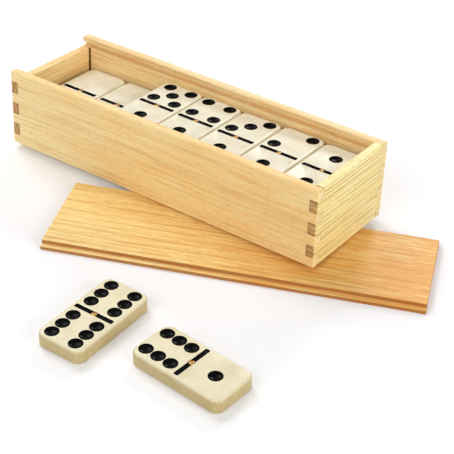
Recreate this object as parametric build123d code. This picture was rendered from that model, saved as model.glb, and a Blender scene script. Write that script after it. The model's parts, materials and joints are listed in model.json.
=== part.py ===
from build123d import *
import os
from math import atan2, cos, degrees, hypot, radians, sin

os.makedirs("parts", exist_ok=True)

# A double-six domino set in its finger-jointed softwood box.  The sliding lid is off and lies flat on
# the table, the box stands on the lid's back edge and on its own back left corner, and two tiles lie
# in front.  Sizes are in millimetres.  The box is drawn square, x along its length and y from its
# front wall to its back wall, and is tipped onto the lid at the end.

# ---- box -------------------------------------------------------------------------------------------
box_height = 40.0
wall = 4.5                  # thickness of the four boards
tile_row_play = 3.6         # spare length at the left end of a full row of tiles
tile_side_play = 2.0        # spare width at the ends of the tiles
arris = 0.6                 # sanded edge on the outside of the box
rim_arris = 0.5             # sanded inner edge of the rim
finger = 6.2                # width of one finger of an end board
fingers = 3                 # fingers on each end of an end board
groove_height = 2.3         # slot for the lid's tongues
groove_depth = 2.4
lip_height = 2.7            # wood left above the slot
panel_thickness = 2.4
panel_raise = 0.8           # gap under the panel when the box stands on a table
panel_housing = 2.0         # depth of the panel's groove in each wall
panel_play = 0.1            # between the panel's edge and the bottom of its groove

# ---- tiles -----------------------------------------------------------------------------------------
tile_length = 48.0
tile_width = 24.0
tile_thickness = 7.2
tile_gap = 0.2              # between neighbours in a row, and before the right end board
corner_radius = 3.0         # upright corners
corner_flats = 5            # flats that stand for the curve of one corner
face_bevel = 0.8            # eased edges round the marked face and the back
tiles_in_row = 7
layers_below = 3            # full layers under the open top layer
pip_column = 6.45           # pip centres beside the tile's long centre line
pip_rows = (5.9, 12.65, 19.4)   # pip centres from the dividing bar
pip_radius = 2.95
pip_depth = 0.8
pip_sides = 12
bar_length = 20.4
bar_width = 1.6
bar_depth = 0.4
pin_radius = 1.5            # brass spinner pin, across the corners
pin_length = 3.0
pin_bevel = 0.5
pin_sink = 0.1              # the pin's head lies this far below the marked face
pin_sides = 8

# ---- lid -------------------------------------------------------------------------------------------
lid_tongue = 2.0            # thickness of the tongues along both long edges
lid_rise = 2.0              # upper part of the board, between the lips
tongue_side_play = 0.3      # tongue to the bottom of its slot
lip_play = 0.4              # upper part to each lip
lid_end_play = 0.3          # lid to the right end board when shut
lid_arris = 0.3

# ---- where things lie ------------------------------------------------------------------------------
lid_corner = (70.1, -55.7)  # front left corner of the lid's upper part, from the box's front left
lid_turn = 22.5             # degrees from the box's length
first_loose = (126.8, -84.8)
first_loose_turn = 0.8
second_loose = (178.2, -84.0)
second_loose_turn = 85.6
# Small shifts towards the back wall that the fingers leave in a row, left to right, for the tiles that
# are seen from above.
top_shifts = (0, 0, 0.85, 0.4, -0.35, 0.2, -0.85)
third_shifts = (-0.7, -0.8, 0, 0, 0, 0, 0)

# Numbers on the tiles, back half first, left to right.  Layer 1 lies on the bottom panel.  The first
# two places of the top layer are empty: their tiles are the two loose ones.
layer_tiles = (
    "3-5 3-6 4-4 4-5 4-6 5-5 5-6",
    "2-2 2-3 2-4 2-5 2-6 3-3 3-4",
    "0-6 0-5 0-4 0-3 0-2 0-1 0-0",
    "empty empty 5-1 4-1 3-1 2-1 1-1",
)
loose_tiles = "6-6 6-1"

# ---- worked out ------------------------------------------------------------------------------------
pitch = tile_width + tile_gap
inner_length = tiles_in_row * pitch + tile_row_play
inner_width = tile_length + tile_side_play
box_length = inner_length + 2 * wall
box_width = inner_width + 2 * wall
groove_floor = box_height - lip_height - groove_height
long_wall_finger = (box_height - fingers * finger) / (fingers + 1)
panel_top = panel_raise + panel_thickness
lid_thickness = lid_tongue + lid_rise
lid_upper_width = inner_width - 2 * lip_play
lid_full_width = inner_width + 2 * (groove_depth - tongue_side_play)
lid_length = box_length - wall - lid_end_play


def block(x, y, z):
    """A box between two values on each axis."""
    return Pos((x[0] + x[1]) / 2, (y[0] + y[1]) / 2, (z[0] + z[1]) / 2) * Box(
        x[1] - x[0], y[1] - y[0], z[1] - z[0]
    )


# ---- the box's five boards -------------------------------------------------------------------------
outside = block((0, box_length), (0, box_width), (0, box_height))
outside = chamfer(outside.edges(), arris)
housing = panel_housing
panel_space = block(
    (wall - housing, box_length - wall + housing),
    (wall - housing, box_width - wall + housing),
    (panel_raise, panel_top),
)
bottom_panel = block(
    (wall - housing + panel_play, box_length - wall + housing - panel_play),
    (wall - housing + panel_play, box_width - wall + housing - panel_play),
    (panel_raise, panel_top),
)


def end_fingers(left, right):
    """The fingers that an end board between two x values passes through both long boards."""
    step = finger + long_wall_finger
    return [
        block((left, right), (0, box_width), (low, low + finger))
        for low in (long_wall_finger + step * i for i in range(fingers))
    ]


left_fingers = end_fingers(0, wall)
right_fingers = end_fingers(box_length - wall, box_length)


def long_wall():
    """The front board: eased rim, lid slot, panel groove and the notches for the end boards."""
    board = block((0, box_length), (0, wall), (0, box_height))
    board = chamfer(board.edges().filter_by(Axis.X).group_by(Axis.Y)[-1].sort_by(Axis.Z)[-1], rim_arris)
    slot = block(
        (0, box_length - wall),
        (wall - groove_depth, wall),
        (groove_floor, groove_floor + groove_height),
    )
    return (board & outside) - [slot, panel_space, *left_fingers, *right_fingers]


front_wall = long_wall()
back_wall = mirror(front_wall, Plane.XZ.offset(-box_width / 2))


def end_wall(left, right, top, end_board_fingers, outer_side):
    """An end board, as high as top, with its outer top edge eased."""
    board = block((left, right), (wall, box_width - wall), (0, top))
    upper_edge = board.edges().filter_by(Axis.Y).group_by(Axis.Z)[-1].sort_by(Axis.X)[outer_side]
    board = chamfer(upper_edge, arris)
    return ((board + end_board_fingers) & outside) - panel_space


left_end = end_wall(0, wall, groove_floor, left_fingers, 0)
right_end = end_wall(box_length - wall, box_length, box_height, right_fingers, -1)


# ---- lid -------------------------------------------------------------------------------------------
def lid_board():
    """The lid drawn along x with the front left corner of its upper part over the origin."""
    overhang = (lid_full_width - lid_upper_width) / 2
    tongues = block((0, lid_length), (-overhang, lid_upper_width + overhang), (0, lid_tongue))
    tongues = chamfer(tongues.edges().filter_by(Axis.X).group_by(Axis.Z)[-1], lid_arris)
    upper = block((0, lid_length), (0, lid_upper_width), (lid_tongue, lid_thickness))
    upper = chamfer(upper.edges().filter_by(Axis.X).group_by(Axis.Z)[-1].sort_by(Axis.Y)[0], lid_arris)
    return tongues + upper


lid = Pos(*lid_corner) * Rot(0, 0, lid_turn) * lid_board()


# ---- tiles -----------------------------------------------------------------------------------------
def pip_places(number):
    """Pip centres of one half, for the half on the +y side of the bar; number is a digit."""
    near, middle, far = pip_rows
    side = pip_column
    corners = [(-side, near), (side, near), (-side, far), (side, far)]
    diagonal = [(-side, near), (side, far)]
    centre = [(0, middle)]
    waist = [(-side, middle), (side, middle)]
    return {
        "0": [],
        "1": centre,
        "2": diagonal,
        "3": diagonal + centre,
        "4": corners,
        "5": corners + centre,
        "6": corners + waist,
    }[number]


def tile_outline():
    """Points round a tile: each corner is an arc of corner_radius, cut into equal flats."""
    x = tile_width / 2 - corner_radius
    y = tile_length / 2 - corner_radius
    centres = ((x, y), (-x, y), (-x, -y), (x, -y))
    turns = [(quarter, step) for quarter in range(4) for step in range(corner_flats + 1)]
    points = []
    for quarter, step in turns:
        angle = radians(90 * (quarter + step / corner_flats))
        centre = centres[quarter]
        points.append((centre[0] + corner_radius * cos(angle), centre[1] + corner_radius * sin(angle)))
    return points


tile_blank = extrude(Polygon(*tile_outline(), align=None), amount=tile_thickness)
both_faces = tile_blank.faces().sort_by(Axis.Z)
tile_blank = chamfer(both_faces[0].edges() + both_faces[-1].edges(), face_bevel)
bar_cut = Pos(0, 0, tile_thickness - bar_depth / 2) * Box(bar_length, bar_width, bar_depth)
pin_outline = RegularPolygon(pin_radius, pin_sides)
pin_top = tile_thickness - pin_sink
pin_shape = Pos(0, 0, pin_top - pin_length) * extrude(pin_outline, amount=pin_length)
pin_shape = chamfer(pin_shape.faces().sort_by(Axis.Z)[-1].edges(), pin_bevel)
pin_hole = Pos(0, 0, pin_top - pin_length) * extrude(pin_outline, amount=pin_length + pin_sink)
marked_blank = tile_blank - [bar_cut, pin_hole]
pip_rim = Plane.XY.offset(tile_thickness) * RegularPolygon(pip_radius, pip_sides)
pip_cut = loft([pip_rim.face(), Vertex(0, 0, tile_thickness - pip_depth)])


def tile_shape(numbers):
    """A tile such as 5-1 centred on the origin, marked face up, with its first number on the +y half."""
    back_number, front_number = numbers.split("-")
    back = pip_places(back_number)
    front = [(-x, -y) for x, y in pip_places(front_number)]
    cuts = [Pos(x, y, 0) * pip_cut for x, y in back + front]
    return marked_blank - cuts if cuts else marked_blank


def tile_name(numbers):
    """Higher number first, as tiles are called."""
    return "tile_" + "_".join(sorted(numbers.split("-"), reverse=True))


def place_in_box(layer, column):
    """Where the tile of this layer and column lies in the box, counted from 0."""
    shifts = {layers_below: top_shifts, layers_below - 1: third_shifts}.get(layer)
    shift = shifts[column] if shifts else 0
    x = box_length - wall - pitch * (tiles_in_row - column) + tile_width / 2
    return Pos(x, box_width / 2 + shift, panel_top + layer * tile_thickness)


# ---- tipping the box onto the lid ------------------------------------------------------------------
# The box turns about a level line through its back left bottom corner, parallel to the lid, until its
# underside meets the back edge of the lid's upper part.
along = (cos(radians(lid_turn)), sin(radians(lid_turn)))
across = (-along[1], along[0])
back_edge = (
    lid_corner[0] + across[0] * lid_upper_width,
    lid_corner[1] + across[1] * lid_upper_width,
)
corner = (arris, box_width - arris)     # the corner's foot, inside its sanded edges
reach = across[0] * (corner[0] - back_edge[0]) + across[1] * (corner[1] - back_edge[1])
tip_angle = degrees(atan2(lid_thickness, reach))
tip_axis = Axis((corner[0], corner[1], 0), (along[0], along[1], 0))

pieces = {
    "front_wall": front_wall,
    "back_wall": back_wall,
    "left_end": left_end,
    "right_end": right_end,
    "bottom_panel": bottom_panel,
}
bottom_pins = []
for layer, row in enumerate(layer_tiles):
    for column, numbers in enumerate(row.split()):
        if numbers == "empty":
            continue
        place = place_in_box(layer, column)
        pieces[tile_name(numbers)] = place * tile_shape(numbers)
        if layer == 0:
            bottom_pins.append(place * pin_shape)
        else:
            pieces[tile_name(numbers).replace("tile", "pin")] = place * pin_shape
pieces["pins_bottom_layer"] = Compound(bottom_pins)
pieces = {name: piece.rotate(tip_axis, -tip_angle) for name, piece in pieces.items()}

pieces["lid"] = lid
loose_places = (
    Pos(*first_loose) * Rot(0, 0, first_loose_turn),
    Pos(*second_loose) * Rot(0, 0, second_loose_turn),
)
for numbers, place in zip(loose_tiles.split(), loose_places):
    pieces[tile_name(numbers)] = place * tile_shape(numbers)
    pieces[tile_name(numbers).replace("tile", "pin")] = place * pin_shape

# ---- the origin lies on the table, under the middle of everything ----------------------------------
bounds = Compound(list(pieces.values())).bounding_box()
to_origin = Pos(-bounds.center().X, -bounds.center().Y, 0)
for name, piece in pieces.items():
    export_step(to_origin * piece, f"parts/{name}.step")

print("nodes", len(pieces), "box", round(box_length, 2), round(box_width, 2), box_height)
print("size", bounds.size, "lowest", round(bounds.min.Z, 4))
print("origin shift", round(-bounds.center().X, 4), round(-bounds.center().Y, 4))
print("tip angle", round(tip_angle, 4), "about", along, "through", corner)
print("lid", lid_length, lid_full_width, lid_thickness)
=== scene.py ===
import json
from math import cos, pi, radians, sin

import bmesh
import bpy
import numpy as np
from mathutils import Matrix, Vector


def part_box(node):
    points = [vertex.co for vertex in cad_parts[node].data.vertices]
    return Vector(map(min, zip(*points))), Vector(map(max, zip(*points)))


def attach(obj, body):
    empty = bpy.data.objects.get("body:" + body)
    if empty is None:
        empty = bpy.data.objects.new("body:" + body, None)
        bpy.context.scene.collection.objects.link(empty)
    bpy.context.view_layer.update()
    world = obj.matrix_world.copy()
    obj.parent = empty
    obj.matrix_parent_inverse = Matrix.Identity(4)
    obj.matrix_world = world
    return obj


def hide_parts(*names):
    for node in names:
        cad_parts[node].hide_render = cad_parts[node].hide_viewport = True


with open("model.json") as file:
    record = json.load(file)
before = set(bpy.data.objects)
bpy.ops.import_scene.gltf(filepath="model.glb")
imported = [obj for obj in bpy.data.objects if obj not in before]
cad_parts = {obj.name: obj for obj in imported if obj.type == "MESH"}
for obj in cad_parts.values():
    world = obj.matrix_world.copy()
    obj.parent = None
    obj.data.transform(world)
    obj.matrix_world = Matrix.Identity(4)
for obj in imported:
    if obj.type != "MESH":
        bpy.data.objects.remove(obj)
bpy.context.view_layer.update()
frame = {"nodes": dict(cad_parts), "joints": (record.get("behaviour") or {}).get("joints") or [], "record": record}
body_of = {node: body for body, nodes in frame["record"]["behaviour"]["bodies"].items() for node in nodes}
mm = 0.001

# ---- box boards ------------------------------------------------------------------------------------
# Five sawn and sanded pine boards, glued with finger joints at the corners.  The long walls and the
# panel have their grain along the box, the end boards across it, so their end grain shows as dark
# fingers on the front and back.  A clear satin varnish gives a soft sheen and no colour of its own.
board_arris = 0.22 * mm         # sandpaper's rounding over the drawn edges
board_thickness = 4.5           # mm, as are the sizes below
finger = 6.2                    # height of an end board's finger
finger_step = 11.55             # from one finger to the next
left_board_drop = 2.5           # middle of the box's height over the middle of the low left board
joint_shade_width = 0.45                # wide
pine_ior = 1.5
pine_roughness = 0.46
pine_specular = 0.38
ring_brown = "#7a4823"          # rings on the cut ends
# Colour of the painted shade along the finger joints.
joint_shade_brown = "#6b3f1c"
canal_size = (3.5, 0.45, 0.45)
fibre_width = 0.85              # across the grain, as coarse as shows in the picture
fibre_length = 20.0
blotch_width = 14.0
blotch_length = 60.0
ring_wander = 1.5               # that a ring strays from a true circle

# The box leans: its upright is the axis along which the tiles are lifted out.
upright = Vector(next(j["axis"] for j in frame["joints"] if j["name"] == "lift_5_1")).normalized()
box_turn = Vector((0, 0, 1)).rotation_difference(upright).to_matrix()
across_box = Matrix.Rotation(radians(90), 3, "Z")


def linear(colour, alpha=1.0):
    """An sRGB hex colour as the linear values that sockets take."""
    parts = [int(colour[i:i + 2], 16) / 255 for i in (1, 3, 5)]
    return (*(c / 12.92 if c <= 0.04045 else ((c + 0.055) / 1.055) ** 2.4 for c in parts), alpha)


def add(tree, kind, inputs=None, **settings):
    """A node with its settings, and each input linked to a socket or set to a value."""
    node = tree.nodes.new(kind)
    for name, value in settings.items():
        setattr(node, name, value)
    for name, value in (inputs or {}).items():
        if isinstance(value, bpy.types.NodeSocket):
            tree.links.new(value, node.inputs[name])
        else:
            node.inputs[name].default_value = value
    return node


def ramp(tree, factor, stops):
    """A colour ramp through (place, hex colour) stops."""
    node = add(tree, "ShaderNodeValToRGB", {"Fac": factor})
    elements = node.color_ramp.elements
    while len(elements) < len(stops):
        elements.new(0.5)
    for element, (place, colour) in zip(elements, stops):
        element.position = place
        element.color = linear(colour)
    return node.outputs["Color"]


def new_material(name):
    """An empty node material and its shader."""
    material = bpy.data.materials.new(name)
    material.use_nodes = True
    tree = material.node_tree
    return material, tree, tree.nodes["Principled BSDF"]


def middle(node):
    """The middle of a CAD node, in metres."""
    low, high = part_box(node)
    return (low + high) / 2


def own_space(tree, turn, centre):
    """Object coordinates in millimetres, from a piece's middle and along its own directions."""
    back = turn.transposed()
    place = add(tree, "ShaderNodeTexCoord")
    return add(tree, "ShaderNodeMapping", {
        "Vector": place.outputs["Object"],
        "Scale": (1000, 1000, 1000),
        "Rotation": back.to_euler(),
        "Location": -(back @ centre) * 1000,
    }).outputs["Vector"]


def stretched(tree, space, sizes):
    """The space measured in steps of sizes, in millimetres along each direction."""
    return add(tree, "ShaderNodeVectorMath", {0: space, 1: [1 / size for size in sizes]},
               operation="MULTIPLY").outputs["Vector"]


def facing(tree, direction):
    """1 where the surface looks along the direction or against it, 0 where it looks elsewhere."""
    normal = add(tree, "ShaderNodeTexCoord").outputs["Normal"]
    along = add(tree, "ShaderNodeVectorMath", {0: normal, 1: direction},
                operation="DOT_PRODUCT").outputs["Value"]
    along = add(tree, "ShaderNodeMath", {0: along}, operation="ABSOLUTE").outputs[0]
    return add(tree, "ShaderNodeMapRange", {"Value": along, "From Min": 0.6, "From Max": 0.9}).outputs[0]


def pine(name, turn, centre, pith, spacing, pale, deep, late, end_grain_and_edge_shade, line,
         joint_shade=None, drift=0.0, edge_shade=0.0):
    """Varnished pine sawn from a log.  Grain runs along the piece's own x, and the growth rings are
    circles round the pith, given as (y, z) in millimetres from the piece's middle.  Fibres take the
    early wood from pale to deep, and each year ends in a thin line of late wood, as strong as line
    says.  joint_shade is where the ends of the fingers are, with the painted shade along their joints,
    drift how much deeper the tone gets over 100 mm along the grain, and edge_shade how strongly the
    long edges are darkened with painted shade."""
    material, tree, shader = new_material(name)
    space = own_space(tree, turn, centre)

    def grain_noise(place, sizes, detail, roughness=0.5):
        return add(tree, "ShaderNodeTexNoise", {"Vector": stretched(tree, place, sizes), "Scale": 1.0,
                   "Detail": detail, "Roughness": roughness})

    def math(operation, *values):
        node = add(tree, "ShaderNodeMath", dict(enumerate(values)), operation=operation)
        return node.outputs[0]

    def blend(factor, first, second):
        return add(tree, "ShaderNodeMix", {"Factor": factor, "A": first, "B": second},
                   data_type="RGBA").outputs["Result"]

    # The log isn't straight: rings stray slowly along the grain and a little faster across it.
    stray = add(tree, "ShaderNodeVectorMath", {0: grain_noise(space, (140, 30, 30), 2.0).outputs["Color"],
                1: (0.5, 0.5, 0.5)}, operation="SUBTRACT").outputs["Vector"]
    bent = add(tree, "ShaderNodeVectorMath", {0: stray, 1: [ring_wander * 2] * 3, 2: space},
               operation="MULTIPLY_ADD").outputs["Vector"]
    from_pith = add(tree, "ShaderNodeVectorMath", {0: bent, 1: (0, *pith)},
                    operation="SUBTRACT").outputs["Vector"]
    from_pith = add(tree, "ShaderNodeVectorMath", {0: from_pith, 1: (0, 1, 1)},
                    operation="MULTIPLY").outputs["Vector"]
    radius = add(tree, "ShaderNodeVectorMath", {0: from_pith}, operation="LENGTH").outputs["Value"]
    # Wet and dry years: the spacing swells and shrinks over a few rings.
    years = add(tree, "ShaderNodeTexNoise", {"W": math("MULTIPLY", radius, 0.3), "Scale": 1.0, "Detail": 1.0},
                noise_dimensions="1D").outputs["Fac"]
    season = math("FRACT", math("MULTIPLY_ADD", radius, 1 / spacing, math("MULTIPLY", years, 1.6)))
    rings = add(tree, "ShaderNodeValToRGB", {"Fac": season})
    stops = rings.color_ramp.elements
    stops[0].position, stops[0].color = 0.0, (0.35, 0.35, 0.35, 1)
    stops[1].position, stops[1].color = 1.0, (0.35, 0.35, 0.35, 1)
    for place, level in ((0.07, 0.0), (0.62, 0.1), (0.84, 0.85), (0.93, 1.0)):
        stop = stops.new(place)
        stop.color = (level, level, level, 1)
    # A line fades and comes back along the grain.
    fading = grain_noise(bent, (30, 2.0, 2.0), 2.0).outputs["Fac"]
    strength = add(tree, "ShaderNodeMapRange", {"Value": fading,
                   "From Min": 0.36, "From Max": 0.62, "To Min": 0.25 * line, "To Max": line}).outputs[0]
    lines = math("MULTIPLY", rings.outputs["Color"], strength)
    fibre = grain_noise(bent, (fibre_length, fibre_width, fibre_width), 3.0, 0.65).outputs["Fac"]
    blotch = grain_noise(bent, (blotch_length, blotch_width, blotch_width), 2.0).outputs["Fac"]
    own = add(tree, "ShaderNodeSeparateXYZ", {"Vector": space}).outputs
    tone = math("MULTIPLY_ADD", own["X"], drift / 100, -1.5)
    tone = math("MULTIPLY_ADD", fibre, 2.9, tone)
    tone = add(tree, "ShaderNodeMath", {0: blotch, 1: 1.1, 2: tone}, operation="MULTIPLY_ADD",
               use_clamp=True).outputs[0]
    face = blend(tone, linear(pale), linear(deep))
    face = blend(lines, face, linear(late))
    # Short dark flecks are resin canals cut open along their length.
    openings = grain_noise(space, canal_size, 1.0).outputs["Fac"]
    canals = add(tree, "ShaderNodeMapRange", {"Value": openings, "From Min": 0.56, "From Max": 0.7,
                 "To Max": 0.4}).outputs[0]
    face = blend(canals, face, linear(late))
    # Painted shade: the long edges, which look along the piece's y, are darkened towards the end grain's colour.
    side = math("MULTIPLY", facing(tree, turn @ Vector((0, 1, 0))), edge_shade)
    face = blend(side, face, linear(end_grain_and_edge_shade))
    # Cut ends drink the varnish and go brown, with the rings close and dark.
    pores = grain_noise(space, (1.1, 1.1, 0.6), 2.0).outputs["Fac"]
    end = blend(math("MULTIPLY_ADD", pores, 1.6, -0.6), linear(end_grain_and_edge_shade), linear(deep))
    ring_depth = 0.8 * joint_shade[3] if joint_shade else 0.4
    end = blend(math("MULTIPLY", rings.outputs["Color"], ring_depth), end, linear(ring_brown))
    if joint_shade:
        # Painted shade along the joints frames each finger with a dark line.
        offset, height, inner, depth = joint_shade
        place = math("MULTIPLY_ADD", own["Z"], 1 / finger_step, offset / finger_step)
        away = math("MULTIPLY", math("ABSOLUTE", math("SUBTRACT", place, math("ROUND", place))), finger_step)
        edges = ((away, height / 2), (math("MULTIPLY", own["Y"], inner), board_thickness / 2))
        framed = [add(tree, "ShaderNodeMapRange", {"Value": value, "From Min": edge - 1.4 * joint_shade_width,
                  "From Max": edge - 0.6 * joint_shade_width}).outputs[0] for value, edge in edges]
        end = blend(math("MULTIPLY", math("MAXIMUM", *framed), depth), end, linear(joint_shade_brown))
    cut = math("MULTIPLY", facing(tree, turn @ Vector((1, 0, 0))), 0.95)
    colour = blend(cut, face, end)
    relief = math("MULTIPLY_ADD", fibre, 0.8, lines)
    bump = add(tree, "ShaderNodeBump", {"Height": relief, "Strength": 0.2, "Distance": 0.12 * mm})
    rough = add(tree, "ShaderNodeMapRange", {"Value": fibre, "From Min": 0.3, "From Max": 0.7,
                "To Min": pine_roughness - 0.06, "To Max": pine_roughness + 0.1}).outputs[0]
    tree.links.new(colour, shader.inputs["Base Color"])
    tree.links.new(rough, shader.inputs["Roughness"])
    tree.links.new(bump.outputs["Normal"], shader.inputs["Normal"])
    shader.inputs["IOR"].default_value = pine_ior
    shader.inputs["Specular IOR Level"].default_value = pine_specular
    return material


def sanded(name, node, material):
    """A copy of a CAD board with its loose triangles merged and its edges rounded by sanding."""
    mesh = frame["nodes"][node].data.copy()
    mesh.materials.clear()
    mesh.materials.append(material)
    shape = bmesh.new()
    shape.from_mesh(mesh)
    bmesh.ops.remove_doubles(shape, verts=shape.verts, dist=1e-6)
    bmesh.ops.dissolve_limit(shape, angle_limit=radians(1), verts=shape.verts, edges=shape.edges)
    shape.to_mesh(mesh)
    shape.free()
    mesh.shade_flat()
    piece = bpy.data.objects.new(name, mesh)
    bpy.context.scene.collection.objects.link(piece)
    bevel = piece.modifiers.new("sanding", "BEVEL")
    bevel.width = board_arris
    bevel.segments = 2
    bevel.limit_method = "ANGLE"
    bevel.angle_limit = radians(30)
    bevel.harden_normals = True
    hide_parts(node)
    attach(piece, body_of[node])
    return piece


end_finger = (finger, 0.85)                                     # height, and how dark the painted shade along its joints is
wall_finger = (finger_step - finger, 0.3)
boards = (
    # piece, node, grain direction, pith (y, z), ring spacing, pale and deep early wood, late wood,
    # end grain, strength of the lines, where the fingers' ends are with their painted joint shade, drift
    ("front_board", "front_wall", box_turn,
     (-44, 22), 2.6, "#ffe9ac", "#fbd087", "#dda25a", "#ffeab0", 0.45,
     (finger_step / 2, wall_finger[0], 1, wall_finger[1]), 0.2),
    # Painted light: the back board's early wood is a little paler, to brighten its inner face in the box's shade.
    ("back_board", "back_wall", box_turn,
     (38, 60), 2.4, "#ffebb6", "#fbd291", "#dca45c", "#ffeab0", 0.55,
     (finger_step / 2, wall_finger[0], -1, wall_finger[1]), 0.0),
    ("left_board", "left_end", box_turn @ across_box,
     (70, 30), 2.4, "#ffe8ae", "#f9ca80", "#d4944a", "#bd8648", 0.45,
     (-left_board_drop, end_finger[0], -1, end_finger[1]), 0.0),
    ("right_board", "right_end", box_turn @ across_box,
     (20, -190), 2.3, "#fff3b2", "#fbe393", "#b88a44",
     "#bd8446", 0.85, (0.0, end_finger[0], 1, end_finger[1]), 0.0),
    ("panel_board", "bottom_panel", box_turn,
     (10, -60), 2.2, "#f6d49a", "#e4b870", "#c99752", "#c89a5c", 0.5, None, 0.0),
)
for piece, node, turn, *wood in boards:
    sanded(piece, node, pine("Varnished pine, " + piece.replace("_", " "), turn, middle(node), *wood))

# ---- corner fillets of painted shade ---------------------------------------------------------------
# A narrow dark brown fillet runs up each inner corner, from the panel to just under the top of the low
# left board: painted shade in the corners.
inner_half = (86.5, 25.0)       # from the middle of the box to its inner faces, mm
bead_leg = 0.75
bead_bottom = 1.2               # over the middle of the bottom panel: on the panel
bead_top = 32.9                 # just under the top of the low left board
bead_outline = np.array([(0, 0), (1, 0), (0.38, 0.38), (0, 1)]) * bead_leg


def band_mesh(rings):
    """Faces of a tube whose rings are rows of an array (rings, points, 3), with flat ends."""
    count, points = rings.shape[:2]
    row = np.arange(count - 1)[:, None] * points
    step = np.arange(points)
    after = (step + 1) % points
    sides = np.stack([row + step, row + after, row + points + after, row + points + step], -1)
    faces = [list(face) for face in sides.reshape(-1, 4)]
    faces.append(list(step[::-1]))
    faces.append(list(step + (count - 1) * points))
    return rings.reshape(-1, 3), faces


def build(name, parts, materials, smooth=True):
    """One object from (points, faces, place, material index) parts, in millimetres until now."""
    points, faces, looks = [], [], []
    count = 0
    for part_points, part_faces, place, look in parts:
        points.append(part_points + np.array([*place]))
        faces.extend([[index + count for index in face] for face in part_faces])
        looks.extend([look] * len(part_faces))
        count += len(part_points)
    mesh = bpy.data.meshes.new(name)
    mesh.from_pydata(np.concatenate(points), [], faces)
    for material in materials:
        mesh.materials.append(material)
    mesh.polygons.foreach_set("material_index", looks)
    mesh.polygons.foreach_set("use_smooth", [smooth] * len(faces))
    mesh.update()
    piece = bpy.data.objects.new(name, mesh)
    bpy.context.scene.collection.objects.link(piece)
    return piece


def bead(corner):
    """A fillet in one inner corner: the outline turned to face the middle, carried straight up."""
    turn = corner * pi / 2
    turned = bead_outline @ np.array([(cos(turn), sin(turn)), (-sin(turn), cos(turn))])
    side = np.array([(-1, -1), (1, -1), (1, 1), (-1, 1)][corner]) * inner_half
    rings = [np.column_stack([turned + side, np.full(len(turned), height)])
             for height in (bead_bottom, bead_top)]
    return band_mesh(np.array(rings))


# Mottled dark brown: painted shade for the corner fillets.
corner_shade_material, tree, shader = new_material("Dark corner fillet, painted shade")
fillet_mottle = add(tree, "ShaderNodeTexNoise", {"Vector": add(tree, "ShaderNodeTexCoord").outputs["Object"],
            "Scale": 400.0, "Detail": 2.0}).outputs["Fac"]
tree.links.new(ramp(tree, fillet_mottle, ((0.3, "#4a2710"), (0.7, "#7d4a22"))), shader.inputs["Base Color"])
shader.inputs["Roughness"].default_value = 0.35
beads = build("corner_shade_fillets", [(*bead(corner), (0, 0, 0), 0) for corner in range(4)], [corner_shade_material],
              smooth=False)
beads.data.transform(Matrix.Translation(middle("bottom_panel")) @ box_turn.to_4x4() @ Matrix.Scale(mm, 4))
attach(beads, "box")

# ---- lid -------------------------------------------------------------------------------------------
# One pine board, planed and varnished like the box but a little deeper in colour.  Both long edges
# are rabbeted, which leaves the tongues that run in the slots of the long walls.
lid_turn = 22.5                 # degrees from the box's length
lid_frame = Matrix.Rotation(radians(lid_turn), 3, "Z")
# Its long edge faces are darkened with painted shade.
lid = sanded("lid_board", "lid", pine("Varnished pine, lid", lid_frame, middle("lid"), (26, -60), 2.0,
                                      "#ffe296", "#eeae56", "#cf8838", "#a55f22", 0.6,
                                      drift=0.5, edge_shade=0.85))

# ---- tiles -----------------------------------------------------------------------------------------
# Twenty-eight moulded tiles in ivory plastic, polished in a drum, which rounds every edge.  The pips
# and the dividing bar are cut into the face and filled with a coat of gloss black enamel.
tile_size = (24.0, 48.0, 7.2)
tile_corner = 4.2               # upright corners
tile_easing = 1.3               # rounding of the faces' edges
pip_column = 6.45               # pip centres beside the long centre line
pip_rows = (5.9, 12.65, 19.4)   # pip centres from the dividing bar
pip_radius = 2.88
pip_depth = 0.95
pip_lip = 0.14                  # polished rim of the hollow
bar_half = (10.2, 1.15)
bar_corner = 0.55               # rounding of its blunt ends
bar_depth = 0.55
pin_seat = 1.5                  # radius of the pin's hole
packed = (
    "3-5 3-6 4-4 4-5 4-6 5-5 5-6",
    "2-2 2-3 2-4 2-5 2-6 3-3 3-4",
    "0-6 0-5 0-4 0-3 0-2 0-1 0-0",
    "empty empty 5-1 4-1 3-1 2-1 1-1",
)
loose = (("6-6", 0.8), ("6-1", 85.6))


def rounded_block(size, corner, easing, corner_steps=8, edge_steps=5):
    """A block standing on z = 0.  Its outline is a rectangle with arcs of radius corner, and each ring
    moves in by easing * (1 - sin a) while it rises by easing * (1 - cos a) round the edge's arc."""
    half = np.array(size[:2]) / 2 - corner
    turn = np.linspace(0, pi / 2, corner_steps + 1)
    angle = (turn[None] + np.arange(4)[:, None] * pi / 2).ravel()
    centre = np.repeat(np.array([(1, 1), (-1, 1), (-1, -1), (1, -1)]) * half, corner_steps + 1, axis=0)
    edge = np.linspace(0, pi / 2, edge_steps + 1)
    inset = np.concatenate([easing * (1 - np.sin(edge)), easing * (1 - np.cos(edge))])
    height = np.concatenate([easing * (1 - np.cos(edge)), size[2] - easing * (1 - np.sin(edge))])
    reach = corner - inset[:, None]
    rings = np.stack([centre[:, 0] + reach * np.cos(angle), centre[:, 1] + reach * np.sin(angle),
                      np.broadcast_to(height[:, None], (len(height), len(angle)))], -1)
    return band_mesh(rings)


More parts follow.
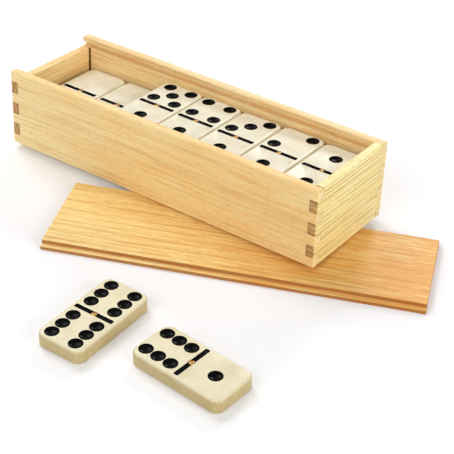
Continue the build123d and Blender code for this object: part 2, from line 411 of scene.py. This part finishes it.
def hollow(outline, depth, lip, bowl_steps=6, lip_steps=3, dish=1.0):
    """The solid that a hollow removes, from its floor up past z = 0.  outline is (points, 2) and shrinks
    towards its own middle line; dish 1 makes a round bowl, less makes a flat floor with round sides."""
    middle_line, out = outline
    fall = np.linspace(0.12, pi / 2, bowl_steps)
    spread = 1 - dish + dish * np.sin(fall)
    down = -lip - (depth - lip) * np.cos(fall)
    flare = np.linspace(0, pi / 2, lip_steps + 1)[1:]
    spread = np.concatenate([spread, 1 + lip * (1 - np.cos(flare)), [1 + lip]])
    down = np.concatenate([down, -lip * (1 - np.sin(flare)), [0.4]])
    rings = np.stack([middle_line[:, 0] + spread[:, None] * out[:, 0],
                      middle_line[:, 1] + spread[:, None] * out[:, 1],
                      np.broadcast_to(down[:, None], (len(down), len(out)))], -1)
    return band_mesh(rings)


def circle(radius, points=36):
    """Middle line and outward reach of a round outline."""
    angle = np.linspace(0, 2 * pi, points, endpoint=False)
    return np.zeros((points, 2)), radius * np.stack([np.cos(angle), np.sin(angle)], -1)


def blunt_bar(half_length, half_width, corner, points=6):
    """Middle line and outward reach of a bar along x whose ends are blunt, with small round corners."""
    turn = np.linspace(0, pi / 2, points)
    angle = (turn[None] + np.arange(4)[:, None] * pi / 2).ravel()
    corners = np.array([(1, 1), (-1, 1), (-1, -1), (1, -1)]) * (half_length - corner, half_width - corner)
    return np.repeat(corners, points, axis=0), corner * np.stack([np.cos(angle), np.sin(angle)], -1)


def pip_places(number, side):
    """Pip centres of one half; side is 1 for the half behind the bar and -1 for the one in front."""
    near, mid, far = pip_rows
    column = pip_column
    spots = {
        "centre": [(0, mid)],
        "diagonal": [(-column, near), (column, far)],
        "other": [(column, near), (-column, far)],
        "waist": [(-column, mid), (column, mid)],
    }
    used = {"0": (), "1": ("centre",), "2": ("diagonal",), "3": ("diagonal", "centre"),
            "4": ("diagonal", "other"), "5": ("diagonal", "other", "centre"),
            "6": ("diagonal", "other", "waist")}[number]
    return [(side * x, side * y) for name in used for x, y in spots[name]]


cloud_size = 9.0                # mm, slow clouds of the filler
filler_grain = 0.9              # mm, as coarse as shows in the picture


def ivory_plastic(name, pale, deep, side_shade_tint):
    """Cast phenolic in an ivory tint: dense, a little translucent and clouded by its filler, with a
    drum polish.  Its upright sides are darkened to tan with painted shade."""
    material, tree, shader = new_material(name)
    place = add(tree, "ShaderNodeTexCoord").outputs["Object"]
    cloud = add(tree, "ShaderNodeTexNoise", {"Vector": place, "Scale": 1000 / cloud_size,
                "Detail": 3.0}).outputs["Fac"]
    grit = add(tree, "ShaderNodeTexNoise", {"Vector": place, "Scale": 1000 / filler_grain,
               "Detail": 2.0}).outputs["Fac"]
    mottle = add(tree, "ShaderNodeMath", {0: grit, 1: 0.9, 2: cloud}, operation="MULTIPLY_ADD").outputs[0]
    colour = ramp(tree, mottle, ((0.62, deep), (1.2, pale)))
    # Painted shade: upright faces are multiplied towards a tan tint, fading in as the face turns from level.
    normal = add(tree, "ShaderNodeTexCoord").outputs["Normal"]
    level = add(tree, "ShaderNodeSeparateXYZ", {"Vector": normal}).outputs["Z"]
    painted_side_shade = add(tree, "ShaderNodeMapRange", {"Value": level, "From Min": 0.8,
                       "From Max": 0.1}).outputs[0]
    colour = add(tree, "ShaderNodeMix", {"Factor": painted_side_shade, "A": colour, "B": linear(side_shade_tint)},
                 data_type="RGBA", blend_type="MULTIPLY").outputs["Result"]
    bump = add(tree, "ShaderNodeBump", {"Height": grit, "Strength": 0.1, "Distance": 0.05 * mm})
    rough = add(tree, "ShaderNodeMapRange", {"Value": cloud, "To Min": 0.28, "To Max": 0.42}).outputs[0]
    tree.links.new(colour, shader.inputs["Base Color"])
    tree.links.new(rough, shader.inputs["Roughness"])
    tree.links.new(bump.outputs["Normal"], shader.inputs["Normal"])
    shader.inputs["IOR"].default_value = 1.5
    shader.inputs["Subsurface Weight"].default_value = 0.12
    shader.inputs["Subsurface Radius"].default_value = (1.0, 0.8, 0.5)
    shader.inputs["Subsurface Scale"].default_value = 1.2 * mm
    return material


enamel_specular = 0.03          # a weak mirror, so that the pips stay black in a white room


def black_enamel():
    """Gloss enamel flowed into the hollows: smooth, with the soft waves of a brushed coat."""
    material, tree, shader = new_material("Black gloss enamel")
    place = add(tree, "ShaderNodeTexCoord").outputs["Object"]
    wave = add(tree, "ShaderNodeTexNoise", {"Vector": place, "Scale": 500.0, "Detail": 1.0}).outputs["Fac"]
    colour = ramp(tree, wave, ((0.3, "#050505"), (0.8, "#0a0909")))
    bump = add(tree, "ShaderNodeBump", {"Height": wave, "Strength": 0.1, "Distance": 0.1 * mm})
    rough = add(tree, "ShaderNodeMapRange", {"Value": wave, "To Min": 0.12, "To Max": 0.2}).outputs[0]
    tree.links.new(colour, shader.inputs["Base Color"])
    tree.links.new(rough, shader.inputs["Roughness"])
    tree.links.new(bump.outputs["Normal"], shader.inputs["Normal"])
    shader.inputs["IOR"].default_value = 1.5
    shader.inputs["Specular IOR Level"].default_value = enamel_specular
    return material


fresh_ivory = ivory_plastic("Ivory cast plastic", "#f0e8cf", "#e0d6b6", "#e2d8bd")
used_ivory = ivory_plastic("Ivory cast plastic, yellowed", "#eae0be", "#d9cda4", "#e0d3b2")
enamel = black_enamel()
blank = rounded_block(tile_size, tile_corner, tile_easing)
pip_hollow = hollow(circle(pip_radius), pip_depth, pip_lip)
bar_hollow = hollow(blunt_bar(*bar_half, bar_corner), bar_depth, 0.1, dish=0.6)
seat_angle = np.linspace(0, 2 * pi, 32, endpoint=False)
seat_ring = np.stack([pin_seat * np.cos(seat_angle), pin_seat * np.sin(seat_angle), 0 * seat_angle], -1)
seat_hollow = band_mesh(np.stack([seat_ring - (0, 0, 0.9), seat_ring + (0, 0, 0.5)]))


def tile(numbers, place, ivory):
    """A finished tile: the polished blank, less its hollows, with the first number on its back half."""
    back, front = numbers.split("-")
    top = (0, 0, tile_size[2])
    body = build("tile_blank", [(*blank, (0, 0, 0), 0)], [ivory, enamel])
    cuts = [(*pip_hollow, (x, y, top[2]), 1) for x, y in pip_places(back, 1) + pip_places(front, -1)]
    cuts += [(*bar_hollow, top, 1)]
    cutter = build("tile_hollows", cuts, [ivory, enamel])
    seat = build("pin_seat", [(*seat_hollow, top, 0)], [ivory, enamel])
    for number, tool in enumerate((cutter, seat)):
        cut = body.modifiers.new(f"cut_{number}", "BOOLEAN")
        cut.object = tool
        cut.solver = "EXACT"
        cut.material_mode = "TRANSFER"
    seen = body.evaluated_get(bpy.context.evaluated_depsgraph_get())
    mesh = bpy.data.meshes.new_from_object(seen)
    for tool in (body, cutter, seat):
        bpy.data.objects.remove(tool)
    mesh.transform(place @ Matrix.Scale(mm, 4))
    mesh.shade_smooth()
    mesh.set_sharp_from_angle(angle=radians(28))
    name = "_".join(sorted((back, front), reverse=True))
    piece = bpy.data.objects.new("domino_" + name, mesh)
    bpy.context.scene.collection.objects.link(piece)
    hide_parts("tile_" + name)
    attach(piece, body_of["tile_" + name])
    return piece


# ---- spinner pins ----------------------------------------------------------------------------------
# A brass rivet with a domed head is pressed into the middle of each tile, so that the tile spins on
# it.  The head is turned, lightly polished, and has gone a little brown.
head_radius = 1.42
head_rise = 0.45
head_sink = 0.42                # rim of the dome below the marked face
shank_length = 2.4


def brass():
    """Turned brass with fine rings from the lathe and a trace of tarnish."""
    material, tree, shader = new_material("Turned brass")
    place = add(tree, "ShaderNodeTexCoord").outputs["Object"]
    age = add(tree, "ShaderNodeTexNoise", {"Vector": place, "Scale": 900.0, "Detail": 2.0}).outputs["Fac"]
    colour = ramp(tree, age, ((0.3, "#7c5830"), (0.7, "#b08a54")))
    rough = add(tree, "ShaderNodeMapRange", {"Value": age, "To Min": 0.22, "To Max": 0.38}).outputs[0]
    bump = add(tree, "ShaderNodeBump", {"Height": age, "Strength": 0.1, "Distance": 0.05 * mm})
    tree.links.new(colour, shader.inputs["Base Color"])
    tree.links.new(rough, shader.inputs["Roughness"])
    tree.links.new(bump.outputs["Normal"], shader.inputs["Normal"])
    shader.inputs["Metallic"].default_value = 1.0
    return material


spinner = brass()
dome = np.linspace(0, pi / 2 * 0.97, 7)
head_reach = np.concatenate([[head_radius, head_radius], head_radius * np.cos(dome)])
head_height = np.concatenate([[-shank_length, -shank_length * 0.5],
                              -head_sink + head_rise * 0.9 * np.sin(dome)])
head_turn = np.linspace(0, 2 * pi, 28, endpoint=False)
pin_shape = band_mesh(np.stack([head_reach[:, None] * np.cos(head_turn),
                                head_reach[:, None] * np.sin(head_turn),
                                np.broadcast_to(head_height[:, None],
                                                (len(head_reach), len(head_turn)))], -1))


def pins(name, node, places):
    """The pins of one CAD node, one at each place."""
    top = (0, 0, tile_size[2])
    parts = []
    for place in places:
        turned = np.array(place.to_3x3())
        points = (pin_shape[0] + top) @ turned.T + np.array(place.translation) / mm
        parts.append((points, pin_shape[1], (0, 0, 0), 0))
    piece = build(name, parts, [spinner])
    piece.data.transform(Matrix.Scale(mm, 4))
    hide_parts(node)
    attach(piece, body_of[node])
    return piece


# ---- the set in its places -------------------------------------------------------------------------
# Four layers of seven tiles lie across the box with their marked faces up.  Two tiles of the top layer
# have been taken out and lie in front.
def tile_place(name, turn):
    """Where a tile stands: the middle of its CAD solid, down half its thickness."""
    down = turn @ Vector((0, 0, tile_size[2] / 2 * mm))
    return Matrix.Translation(middle("tile_" + name) - down) @ turn.to_4x4()


bottom_places = []
for layer, row in enumerate(packed):
    for numbers in row.split():
        if numbers == "empty":
            continue
        name = "_".join(sorted(numbers.split("-"), reverse=True))
        place = tile_place(name, box_turn)
        tile(numbers, place, fresh_ivory)
        if layer:
            pins("spinner_" + name, "pin_" + name, [place])
        else:
            bottom_places.append(place)
pins("spinners_bottom_layer", "pins_bottom_layer", bottom_places)
for numbers, angle in loose:
    name = numbers.replace("-", "_")
    place = tile_place(name, Matrix.Rotation(radians(angle), 3, "Z"))
    tile(numbers, place, used_ivory)
    pins("spinner_" + name, "pin_" + name, [place])

# ---- table, light and camera -----------------------------------------------------------------------
# A white sweep in soft studio light: a softbox high on the left, a small lamp behind that puts a glint
# in each pip, a large soft one high in front, and one on the right that lightens the end of the box.
floor_half = 3.0
floor_lift = 0.12               # of white, added only where the camera sees the floor
studio_fill = 0.29              # of white, the room's light on the set
floor_mesh = bpy.data.meshes.new("table")
floor_mesh.from_pydata([(-floor_half, -floor_half, 0), (floor_half, -floor_half, 0),
                        (floor_half, floor_half, 0), (-floor_half, floor_half, 0)], [], [(0, 1, 2, 3)])
table = bpy.data.objects.new("table", floor_mesh)
bpy.context.scene.collection.objects.link(table)
paper, tree, shader = new_material("White paper sweep")
shader.inputs["Base Color"].default_value = linear("#f4f4f6")
shader.inputs["Roughness"].default_value = 0.9
seen_by = add(tree, "ShaderNodeLightPath")
lift = add(tree, "ShaderNodeMath", {0: seen_by.outputs["Is Camera Ray"], 1: floor_lift}, operation="MULTIPLY")
tree.links.new(lift.outputs[0], shader.inputs["Emission Strength"])
shader.inputs["Emission Color"].default_value = (1, 1, 1, 1)
floor_mesh.materials.append(paper)

world = bpy.data.worlds.new("studio")
world.use_nodes = True
bpy.context.scene.world = world
tree = world.node_tree
tree.nodes.clear()
seen_by = add(tree, "ShaderNodeLightPath")
direct = add(tree, "ShaderNodeMath", {0: seen_by.outputs["Is Camera Ray"],
             1: seen_by.outputs["Is Glossy Ray"]}, operation="MAXIMUM")
strength = add(tree, "ShaderNodeMapRange", {"Value": direct.outputs[0], "To Min": studio_fill, "To Max": 1.0})
sky = add(tree, "ShaderNodeBackground", {"Color": (1, 1, 1, 1), "Strength": strength.outputs[0]})
add(tree, "ShaderNodeOutputWorld", {"Surface": sky.outputs[0]})


def soft_light(name, place, aim, size, power):
    """A square softbox at place, facing aim."""
    light = bpy.data.lights.new(name, "AREA")
    light.shape = "SQUARE"
    light.size = size
    light.energy = power
    lamp = bpy.data.objects.new(name, light)
    lamp.location = place
    lamp.rotation_euler = (Vector(aim) - Vector(place)).to_track_quat("-Z", "Y").to_euler()
    bpy.context.scene.collection.objects.link(lamp)
    return lamp


soft_light("left_softbox", (-0.9, 0.35, 1.1), (0, 0, 0), 0.7, 8.4)
soft_light("glint_lamp", (-0.39, 1.3, 0.85), (0, 0, 0), 0.3, 5.6)
soft_light("front_softbox", (-0.1, -1.2, 1.0), (0, 0, 0.02), 1.0, 8.0)
soft_light("right_softbox", (1.35, -0.15, 0.5), (0, 0, 0.02), 0.8, 8.8)

# The camera stands at the right front corner and looks down on the set.
photo_width = 454               # pixels
focal_pixels = 1330.6
camera_place = (0.30445, -0.38727, 0.36355)
camera_yaw = 34.89              # degrees to the left of straight back
camera_pitch = 35.32            # degrees down
camera_roll = 1.96
yaw, pitch, roll = radians(camera_yaw), radians(camera_pitch), radians(camera_roll)
ahead = Vector((-sin(yaw) * cos(pitch), cos(yaw) * cos(pitch), -sin(pitch)))
level = Vector((cos(yaw), sin(yaw), 0))
above = level.cross(ahead)
right = cos(roll) * level + sin(roll) * above
up = -sin(roll) * level + cos(roll) * above
lens = bpy.data.cameras.new("camera")
lens.sensor_width = 36.0
lens.lens = focal_pixels / photo_width * lens.sensor_width
lens.clip_start = 0.01
camera = bpy.data.objects.new("camera", lens)
camera.matrix_world = Matrix.Translation(camera_place) @ Matrix((right, up, -ahead)).transposed().to_4x4()
bpy.context.scene.collection.objects.link(camera)
bpy.context.scene.camera = camera
bpy.context.scene.view_settings.view_transform = "Standard"
